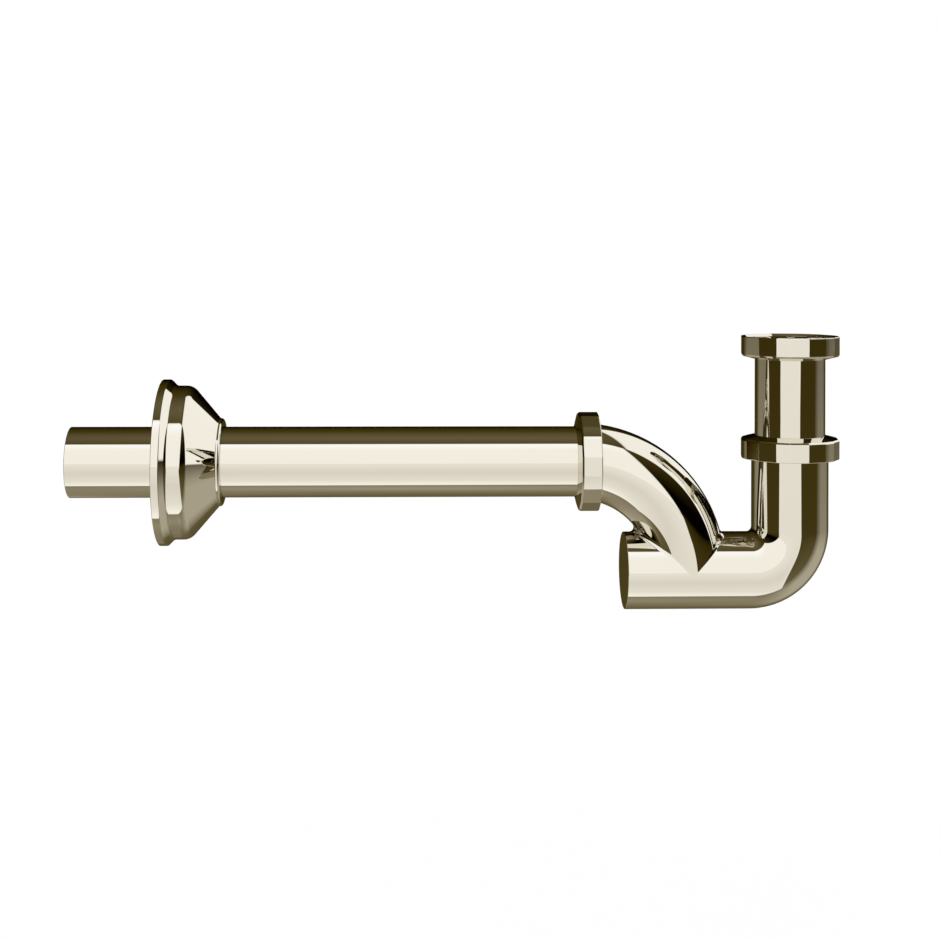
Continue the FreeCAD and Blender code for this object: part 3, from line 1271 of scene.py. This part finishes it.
@dataclass(frozen=True)
class Panel:
    """A leaning light panel as polished metal sees it, its foot one unit away on the horizon.

    Its sides, foot and top are measured on the panel, in that unit. A slant moves a side over
    the height, or the top across. The light is a list of lifts above the level in degrees,
    each with the tone that the plate shows there.
    """

    turn: float
    lean: float
    left: float
    right: float
    top: float
    light: tuple[tuple[float, tuple[int, int, int]], ...]
    foot: float = 0.0
    left_slant: float = 0.0
    right_slant: float = 0.0
    top_slant: float = 0.0
    in_floor: bool = False
    soft: float = 0.025
    rim: float = 0.0

    FRONT_ONLY = 50.0

    def masks(self, across: Value, away: Value, rise: Value) -> tuple[Value, Value]:
        """Where the panel is seen, and how far it reaches past each place.

        Args:
            across: The direction's part along +X.
            away: The direction's part along +Y.
            rise: The direction's part along +Z.

        Returns:
            A mask that is 1 inside and 0 outside, and the distance to the nearest side or top.
        """
        turn = math.radians(self.turn)
        if self.in_floor:
            rise = -rise
        ahead = across * math.sin(turn) - away * math.cos(turn)
        depth = ahead + self.lean * rise
        side = (across * math.cos(turn) + away * math.sin(turn)) / depth
        height = rise / depth
        edges = (
            self.right - side + self.right_slant * height,
            side - self.left - self.left_slant * height,
            self.top - height + self.top_slant * side,
        )
        nearest = edges[0].maths("MINIMUM", edges[1]).maths("MINIMUM", edges[2])
        panel = (depth * self.FRONT_ONLY).clamp() * (height - self.foot).inside(self.soft)
        for edge in edges:
            panel = panel * edge.inside(self.soft)
        return panel, nearest


@dataclass(frozen=True)
class Lamp:
    """A soft lamp: where it stands from the trap's middle, in metres, and its power in watts."""

    name: str
    place: tuple[float, float, float]
    power: float
    size: float = 1.6


@dataclass
class Studio:
    """Floor, lamps and surroundings, the last as tones over lift for the walls and as panels."""

    plate: tuple[float, float, float] = (0.78, 0.751, 0.668)
    white: tuple[float, float, float] = (1.0, 1.0, 1.0)
    room: tuple[float, float, float] = (0.85, 0.85, 0.85)
    floor_paint: tuple[float, float, float] = (0.9, 0.9, 0.9)
    floor_drop: float = 0.30
    floor_size: float = 12.0
    floor_glow: float = 0.6
    shadow_reach: float = 0.25
    shadow_fade: float = 0.5
    lights: tuple[Lamp, ...] = (
        Lamp("key", (-0.8, -1.4, 1.6), 22.0),
        Lamp("fill", (1.5, -0.9, 0.9), 10.0),
    )
    walls: tuple[tuple[float, tuple[int, int, int]], ...] = (
        (-90, (153, 143, 119)),
        (-80, (137, 127, 102)),
        (-64, (112, 102, 76)),
        (-40, (95, 86, 56)),
        (-16, (75, 65, 35)),
        (-9, (61, 51, 18)),
        (-3, (54, 44, 11)),
        (0, (46, 36, 6)),
        (3, (4, 2, 0)),
        (12, (3, 1, 0)),
        (24, (29, 23, 3)),
        (40, (53, 42, 9)),
        (56, (65, 55, 19)),
        (72, (85, 74, 45)),
        (90, (98, 89, 60)),
    )
    rim_light: tuple[float, float, float] = (1.06, 1.06, 1.04)
    panels: tuple[Panel, ...] = (
        Panel(
            107, 0.786, -0.39, 0.40, 0.80, ((0, (165, 157, 134)),),
            foot=0.12, in_floor=True, soft=0.36,
        ),
        Panel(
            -112, 0.786, -0.50, 0.36, 0.85, ((0, (150, 140, 115)),),
            foot=0.05, in_floor=True, soft=0.33,
        ),
        Panel(
            -127, 0.786, -0.47, 0.50, 0.62, ((0, (160, 151, 126)),),
            foot=0.31, in_floor=True, soft=0.12,
        ),
        Panel(0, 0.70, -0.88, 0.475, 0.115, ((0, (228, 222, 206)),), right_slant=-1.3, in_floor=True),
        Panel(
            0, 0.70, -0.88, 0.31, 1.03,
            (
                (-90, (247, 243, 230)), (-72, (245, 240, 225)), (-56, (226, 220, 204)),
                (-28, (215, 207, 191)), (-4, (228, 222, 206)),
            ),
            left_slant=0.25, right_slant=0.32, top_slant=-0.10, in_floor=True, rim=0.05,
        ),
        Panel(
            0, 0.644, -0.9325, 0.463, 0.93,
            ((0, (241, 236, 221)), (44, (242, 237, 223)), (60, (250, 248, 241))),
            right_slant=0.028, rim=0.05,
        ),
        Panel(
            107, 0.786, -0.46, 0.70, 0.83, ((0, (241, 236, 221)),),
            foot=-0.04, right_slant=-0.27, rim=0.05,
        ),
        Panel(107, 0.786, 0.17, 0.78, 0.438, ((0, (6, 4, 0)),), top_slant=-0.49),
    )

    LOWEST = -90
    LIFTS = 180

    def tones(self, graph: Graph, lift: Value, stops: Sequence[tuple]) -> bpy.types.NodeSocket:
        """Light over lift that the plate turns into the given tones.

        Args:
            graph: The tree.
            lift: Angle above the level, in degrees.
            stops: Lifts, each with its tone.

        Returns:
            The colour's socket.
        """
        ready = []
        for place, seen in stops:
            light = tuple(part / own for part, own in zip(map(linear, seen), self.plate))
            ready.append(((place - self.LOWEST) / self.LIFTS, light))
        inputs = {"Fac": (lift - self.LOWEST) / self.LIFTS}
        return graph.node("ShaderNodeValToRGB", {"stops": ready}, inputs).outputs["Color"]

    def world(self) -> None:
        """Make the surroundings: white to the camera, pale to plain surfaces, a studio to polished ones."""
        made = bpy.data.worlds.new("studio")
        bpy.context.scene.world = made
        made.use_nodes = True
        graph = Graph(made.node_tree)
        direction = graph.node("ShaderNodeTexCoord", {}, {}).outputs["Generated"]
        parts = graph.node("ShaderNodeSeparateXYZ", {}, {"Vector": direction})
        across, away, rise = (Value(graph, parts.outputs[name]) for name in ("X", "Y", "Z"))
        lift = rise.maths("ARCSINE") * math.degrees(1)
        seen = self.tones(graph, lift, self.walls)
        for panel in self.panels:
            inside, nearest = panel.masks(across, away, rise)
            light = self.tones(graph, lift, panel.light)
            if panel.rim:
                light = graph.mix((1 - nearest / panel.rim).clamp(), light, self.rim_light)
            seen = graph.mix(inside, seen, light)
        ray = graph.node("ShaderNodeLightPath", {}, {}).outputs
        plain = graph.mix(Value(graph, ray["Is Camera Ray"]), self.room, self.white)
        colour = graph.mix(Value(graph, ray["Is Glossy Ray"]), plain, seen)
        background = graph.node("ShaderNodeBackground", {}, {"Color": colour, "Strength": 1.0})
        graph.node("ShaderNodeOutputWorld", {}, {"Surface": background.outputs["Background"]})

    def floor(self) -> None:
        """A plain pale floor well under the trap, which keeps its soft shadow."""
        middle = (cad_low + cad_high) / 2
        level = cad_low.z - self.floor_drop
        half = self.floor_size / 2
        data = bpy.data.meshes.new("floor")
        corners = ((-half, -half), (half, -half), (half, half), (-half, half))
        data.from_pydata([(middle.x + x, middle.y + y, level) for x, y in corners], [], [(0, 1, 2, 3)])
        made = placed("floor", data)
        finish = bpy.data.materials.new("floor_paint")
        finish.use_nodes = True
        graph = Graph(finish.node_tree)
        ray = graph.node("ShaderNodeLightPath", {}, {}).outputs
        place = graph.node("ShaderNodeTexCoord", {}, {}).outputs["Object"]
        under = {0: place, 1: (*middle.xy, level)}
        reach = graph.value("ShaderNodeVectorMath", {"operation": "DISTANCE"}, under, "Value")
        paint = graph.node("ShaderNodeBsdfDiffuse", {}, {"Color": (*self.floor_paint, 1.0)}).outputs[0]
        glow = {"Color": (*self.white, 1.0), "Strength": 1.0}
        white = graph.node("ShaderNodeEmission", {}, glow).outputs[0]
        far = ((reach - self.shadow_reach) / self.shadow_fade).clamp()
        share = (self.floor_glow + (1 - self.floor_glow) * far) * Value(graph, ray["Is Camera Ray"])
        surface = graph.node("ShaderNodeMixShader", {}, {0: share, 1: paint, 2: white}).outputs[0]
        graph.node("ShaderNodeOutputMaterial", {}, {"Surface": surface})
        made.data.materials.append(finish)
        made.visible_glossy = False

    def lamps(self) -> None:
        """Large soft lamps, which polished metal doesn't show."""
        middle = (cad_low + cad_high) / 2
        for lamp in self.lights:
            data = bpy.data.lights.new(lamp.name, "AREA")
            data.energy = lamp.power
            data.size = lamp.size
            made = placed(lamp.name, data)
            made.location = middle + Vector(lamp.place)
            made.rotation_mode = "QUATERNION"
            made.rotation_quaternion = Vector(lamp.place).to_track_quat("Z", "Y")
            made.visible_glossy = False


@dataclass(frozen=True)
class ViewCamera:
    """Camera at the photograph's viewing angle, in metres, degrees and shares of the picture's width."""

    eye: tuple[float, float, float] = (-0.1739, -0.7501, 0.04505)
    yaw: float = 2.01
    roll: float = 0.143
    lens: float = 62.84
    sensor: float = 36.0
    shift: float = -0.2365
    nearest: float = 0.01
    farthest: float = 50.0

    def build(self) -> bpy.types.Object:
        """Make the camera and use it.

        Returns:
            The camera's object.
        """
        data = bpy.data.cameras.new("camera")
        data.lens = self.lens
        data.sensor_width = self.sensor
        data.shift_y = self.shift
        data.clip_start = self.nearest
        data.clip_end = self.farthest
        yaw = math.radians(self.yaw)
        roll = math.radians(self.roll)
        ahead = Vector((math.sin(yaw), math.cos(yaw), 0))
        level = Vector((math.cos(yaw), -math.sin(yaw), 0))
        right = level * math.cos(roll) + UP * math.sin(roll)
        above = UP * math.cos(roll) - level * math.sin(roll)
        made = placed("camera", data)
        turn = Matrix((right, above, -ahead)).transposed()
        made.matrix_world = Matrix.Translation(Vector(self.eye)) @ turn.to_4x4()
        bpy.context.scene.camera = made
        return made


@dataclass
class Wardrobe:
    """The finishes, and what wears them."""

    nickel: bpy.types.Material = field(init=False)
    brass: bpy.types.Material = field(init=False)
    rubber: bpy.types.Material = field(init=False)
    nylon: bpy.types.Material = field(init=False)

    def __post_init__(self) -> None:
        """Make the four finishes."""
        self.nickel = PolishedNickel().material()
        self.brass = BareBrass().material()
        self.rubber = Moulded(
            "seal_rubber",
            colour=(0.022, 0.022, 0.023),
            second=(0.035, 0.034, 0.033),
            roughness=0.55,
            grain_height=0.00003,
        ).material()
        self.nylon = Moulded(
            "slip_ring_nylon",
            colour=(0.80, 0.79, 0.74),
            second=(0.72, 0.71, 0.65),
            roughness=0.42,
            grain_height=0.00001,
        ).material()

    def plate(self, piece: bpy.types.Object) -> None:
        """Dress a metal skin: plate outside, bare brass inside.

        Args:
            piece: The skin, whose bands say which of the two they have.
        """
        piece.data.materials.clear()
        piece.data.materials.append(self.nickel)
        piece.data.materials.append(self.brass)
        log.info("%s: %d faces", piece.name, len(piece.data.polygons))

    def rubberise(self, piece: bpy.types.Object) -> None:
        """Dress a rubber skin.

        Args:
            piece: The skin.
        """
        piece.data.materials.append(self.rubber)
        log.info("%s: %d faces", piece.name, len(piece.data.polygons))

    def dress_node(self, node: str, material: bpy.types.Material) -> None:
        """Give a solid that is carried over its finish.

        Args:
            node: Name of the solid.
            material: Its finish.
        """
        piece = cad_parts[node]
        piece.material_slots[0].material = material
        log.info("%s: carried over in %s", node, material.name)


def main() -> None:
    """Build the trap's pieces, dress them and set the studio round them."""
    logging.basicConfig(level=logging.INFO, format="%(name)s %(message)s")
    wardrobe = Wardrobe()
    trap = TrapBody()
    wall_side = WallOutlet()
    inlet_axis = Axis(Vector((0, 0, Place.low("inlet_nut").z)), UP)
    union_axis = Axis(Vector((0, 0, Place.high("union_nut").z)), DOWN)
    outlet_axis = Axis(Vector((trap.mouth_x, 0, trap.outlet_z)), TO_WALL)
    pieces = [
        trap.bend(),
        trap.arm(),
        Collar("inlet_collar_skin", inlet_axis).build(),
        OutletCollar("outlet_collar_skin", outlet_axis, path=trap.path).build(),
        InletTube().build(),
        wall_side.tube(),
        wall_side.flange(),
        CompressionNut(
            "union_nut_skin", "union_nut", union_axis, corner_angle=-9.5,
            countersink=1.1, thread_start=2.7, mouth_width=0.185, mouth_height=0.32, mouth_steps=1,
        ).build(),
        CompressionNut("inlet_nut_skin", "inlet_nut", inlet_axis, corner_angle=9.5).build(),
        CompressionNut("outlet_nut_skin", "outlet_nut", outlet_axis, corner_angle=12.0).build(),
    ]
    for piece in pieces:
        wardrobe.plate(piece)
    wardrobe.dress_node("end_disc", wardrobe.nickel)
    wardrobe.rubberise(wall_side.grip())
    for node in ("union_gasket", "inlet_seal", "outlet_seal"):
        wardrobe.dress_node(node, wardrobe.rubber)
    for node in ("union_slip_ring", "inlet_slip_ring", "outlet_slip_ring"):
        wardrobe.dress_node(node, wardrobe.nylon)
    studio = Studio()
    studio.world()
    studio.floor()
    studio.lamps()
    ViewCamera().build()
    bpy.context.scene.view_settings.view_transform = "Standard"


if __name__ == "__main__":
    main()
